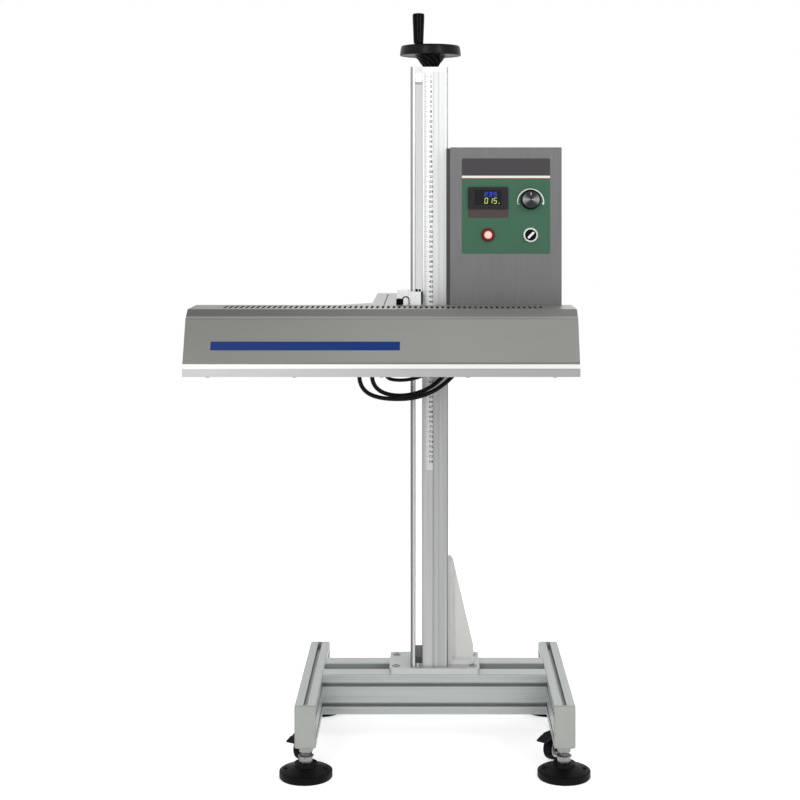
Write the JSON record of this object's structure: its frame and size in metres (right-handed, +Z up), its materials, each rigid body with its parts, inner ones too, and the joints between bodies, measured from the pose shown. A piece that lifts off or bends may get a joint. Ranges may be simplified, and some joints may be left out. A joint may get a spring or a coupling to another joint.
{
  "type": "induction cap sealer",
  "caption": "Floor-standing induction cap sealer: vented sealing head and control box on a carriage that a handwheel and lead screw move along an aluminium column.",
  "frame": {"origin": "middle of the outer box in plan, on the floor under the levelling pads", "axes": "+Z up along the column, -Y towards the operator and the sealing head, +X to the operator's right"},
  "size_m": [0.763, 0.602, 1.461],
  "materials": {
    "anodised_profile": "natural anodised, satin",
    "grey_cap": "moulded, matte",
    "machined_aluminium": "milled and bead blasted",
    "column_aluminium": "bright anodised",
    "tray_aluminium": "brushed",
    "dark_block": "dark satin",
    "rule_steel": "satin with engraved marks",
    "ground_steel": "ground",
    "zinc_steel": "zinc plated",
    "black_nylon": "moulded, satin",
    "black_phenolic": "moulded, low gloss",
    "wheel_rubber": "matte",
    "brake_black": "matte",
    "bronze": "turned",
    "hood_sheet": "satin grey",
    "coil_board": "glass laminate, matte",
    "litz_copper": "varnished wire",
    "ferrite": "sintered, dull",
    "box_sheet": "brushed",
    "panel_print": "printed film",
    "meter_black": "moulded, satin",
    "lamp_red": "clear red lens",
    "chrome_ring": "polished",
    "knob_aluminium": "spun",
    "cable_black": "smooth jacket"
  },
  "bodies": {
    "stand": {"leg_left": "anodised_profile", "leg_right": "anodised_profile", "leg_end_caps": "grey_cap", "cross_beam_front": "anodised_profile", "cross_beam_rear": "anodised_profile", "base_plate": "machined_aluminium", "column_side_plate": "column_aluminium", "column_profile": "column_aluminium", "column_foot_block": "dark_block", "column_head_block": "machined_aluminium", "column_gusset": "machined_aluminium", "scale_rule": "rule_steel", "screw_bearings": "ground_steel", "caster_plates": "zinc_steel", "foot_lock_nuts": "zinc_steel"},
    "lift": {"carriage_block": "machined_aluminium", "lead_nut": "bronze", "arm_clamp": "machined_aluminium", "reach_arm": "machined_aluminium", "arm_gusset": "machined_aluminium", "head_hood": "hood_sheet", "head_tray": "tray_aluminium", "coil_board": "coil_board", "coil_winding": "litz_copper", "ferrite_bars": "ferrite", "box_shelf": "machined_aluminium", "box_shell": "box_sheet", "box_back_cover": "box_sheet", "control_panel": "panel_print", "panel_meter": "meter_black", "indicator_lamp": "lamp_red", "switch_bezel": "chrome_ring", "power_module": "machined_aluminium", "cable_glands": "black_nylon", "coil_cable_long": "cable_black", "coil_cable_middle": "cable_black", "sensor_cable": "cable_black"},
    "screw": {"lead_screw": "ground_steel", "handwheel": "black_phenolic"},
    "grip": {"handwheel_grip": "black_phenolic"},
    "knob": {"power_knob": "knob_aluminium"},
    "rotor": {"switch_rotor": "black_nylon"},
    "foot_front_left": {"foot_pad_front_left": "black_nylon", "foot_stem_front_left": "zinc_steel"},
    "foot_front_right": {"foot_pad_front_right": "black_nylon", "foot_stem_front_right": "zinc_steel"},
    "foot_rear_left": {"foot_pad_rear_left": "black_nylon", "foot_stem_rear_left": "zinc_steel"},
    "foot_rear_right": {"foot_pad_rear_right": "black_nylon", "foot_stem_rear_right": "zinc_steel"},
    "fork_front_left": {"caster_fork_front_left": "zinc_steel"},
    "wheel_front_left": {"caster_wheel_front_left": "wheel_rubber"},
    "brake_left": {"caster_brake_left": "brake_black"},
    "fork_front_right": {"caster_fork_front_right": "zinc_steel"},
    "wheel_front_right": {"caster_wheel_front_right": "wheel_rubber"},
    "brake_right": {"caster_brake_right": "brake_black"},
    "fork_rear_left": {"caster_fork_rear_left": "zinc_steel"},
    "wheel_rear_left": {"caster_wheel_rear_left": "wheel_rubber"},
    "fork_rear_right": {"caster_fork_rear_right": "zinc_steel"},
    "wheel_rear_right": {"caster_wheel_rear_right": "wheel_rubber"}
  },
  "joints": [
    {"name": "lift_slide", "type": "slide", "parent": "stand", "child": "lift", "axis": [0, 0, 1], "range_m": [-0.3, 0.15]},
    {"name": "handwheel_turn", "type": "hinge", "parent": "stand", "child": "screw", "pos_m": [0.0805, -0.018, 1.3745], "axis": [0, 0, -1], "continuous": true},
    {"name": "grip_spin", "type": "hinge", "parent": "screw", "child": "grip", "pos_m": [0.0565, -0.06129, 1.425], "axis": [0, 0, 1], "continuous": true},
    {"name": "power_knob_turn", "type": "hinge", "parent": "lift", "child": "knob", "pos_m": [0.278, -0.104, 1.087], "axis": [0, 1, 0], "range_deg": [-150, 150]},
    {"name": "switch_turn", "type": "hinge", "parent": "lift", "child": "rotor", "pos_m": [0.278, -0.104, 1.017], "axis": [0, 1, 0], "range_deg": [-90, 0]},
    {"name": "foot_front_left_level", "type": "slide", "parent": "stand", "child": "foot_front_left", "axis": [0, 0, 1], "range_m": [-0.015, 0.006]},
    {"name": "foot_front_right_level", "type": "slide", "parent": "stand", "child": "foot_front_right", "axis": [0, 0, 1], "range_m": [-0.015, 0.006]},
    {"name": "foot_rear_left_level", "type": "slide", "parent": "stand", "child": "foot_rear_left", "axis": [0, 0, 1], "range_m": [-0.015, 0.006]},
    {"name": "foot_rear_right_level", "type": "slide", "parent": "stand", "child": "foot_rear_right", "axis": [0, 0, 1], "range_m": [-0.015, 0.006]},
    {"name": "caster_front_left_swivel", "type": "hinge", "parent": "stand", "child": "fork_front_left", "pos_m": [-0.1545, -0.143, 0.052], "axis": [0, 0, 1], "continuous": true},
    {"name": "caster_front_left_roll", "type": "hinge", "parent": "fork_front_left", "child": "wheel_front_left", "pos_m": [-0.16616, -0.16166, 0.0255], "axis": [0.848, -0.5299, 0], "continuous": true},
    {"name": "brake_left_press", "type": "hinge", "parent": "fork_front_left", "child": "brake_left", "pos_m": [-0.17358, -0.17353, 0.05], "axis": [0.848, -0.5299, 0], "range_deg": [0, 20]},
    {"name": "caster_front_right_swivel", "type": "hinge", "parent": "stand", "child": "fork_front_right", "pos_m": [0.3315, -0.143, 0.052], "axis": [0, 0, 1], "continuous": true},
    {"name": "caster_front_right_roll", "type": "hinge", "parent": "fork_front_right", "child": "wheel_front_right", "pos_m": [0.31795, -0.16034, 0.0255], "axis": [0.788, -0.6157, 0], "continuous": true},
    {"name": "brake_right_press", "type": "hinge", "parent": "fork_front_right", "child": "brake_right", "pos_m": [0.30934, -0.17137, 0.05], "axis": [0.788, -0.6157, 0], "range_deg": [0, 20]},
    {"name": "caster_rear_left_swivel", "type": "hinge", "parent": "stand", "child": "fork_rear_left", "pos_m": [-0.1545, 0.037, 0.052], "axis": [0, 0, 1], "continuous": true},
    {"name": "caster_rear_left_roll", "type": "hinge", "parent": "fork_rear_left", "child": "wheel_rear_left", "pos_m": [-0.17252, 0.02438, 0.0255], "axis": [0.5736, -0.8192, 0], "continuous": true},
    {"name": "caster_rear_right_swivel", "type": "hinge", "parent": "stand", "child": "fork_rear_right", "pos_m": [0.3315, 0.037, 0.052], "axis": [0, 0, 1], "continuous": true},
    {"name": "caster_rear_right_roll", "type": "hinge", "parent": "fork_rear_right", "child": "wheel_rear_right", "pos_m": [0.3425, 0.01795, 0.0255], "axis": [0.866, 0.5, 0], "continuous": true}
  ],
  "couplings": [
    {"joint": "handwheel_turn", "follows": "lift_slide", "rad_per_m": 1256.6}
  ]
}
